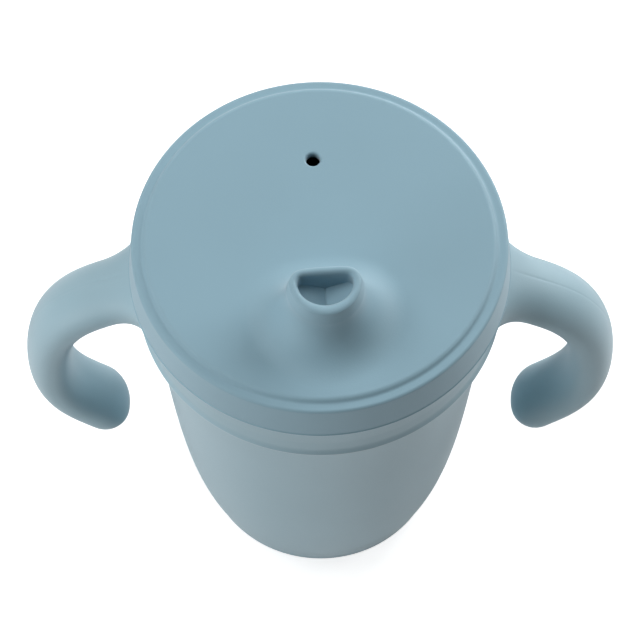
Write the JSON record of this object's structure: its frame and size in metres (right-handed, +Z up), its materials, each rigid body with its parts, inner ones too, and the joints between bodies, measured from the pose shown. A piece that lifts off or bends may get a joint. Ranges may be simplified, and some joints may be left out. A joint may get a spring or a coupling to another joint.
{
  "type": "sippy cup",
  "caption": "Toddler's tapered drinking cup with a press-on lid, a soft flared spout, an air vent and open hook handles on a slip-on ring.",
  "frame": {"origin": "centre of the foot, on the surface that the cup stands on", "axes": "+Z up the cup's axis, +X through one handle, -Y towards the drinker, where the spout is"},
  "size_m": [0.1354, 0.0848, 0.124],
  "materials": {
    "tumbler": "soft matte moulded, muted blue",
    "handle_ring": "soft matte moulded, muted blue, faint mould line",
    "spout_lid": "matte silicone rubber, muted blue"
  },
  "bodies": {
    "cup": {"tumbler": "tumbler"},
    "handles": {"handle_ring": "handle_ring"},
    "lid": {"spout_lid": "spout_lid"}
  },
  "joints": [
    {"name": "handles_turn", "type": "hinge", "parent": "cup", "child": "handles", "pos_m": [0, 0, 0.0937], "axis": [0, 0, 1], "continuous": true},
    {"name": "lid_lift", "type": "slide", "parent": "cup", "child": "lid", "axis": [0, 0, 1], "range_m": [0, 0.045]}
  ]
}
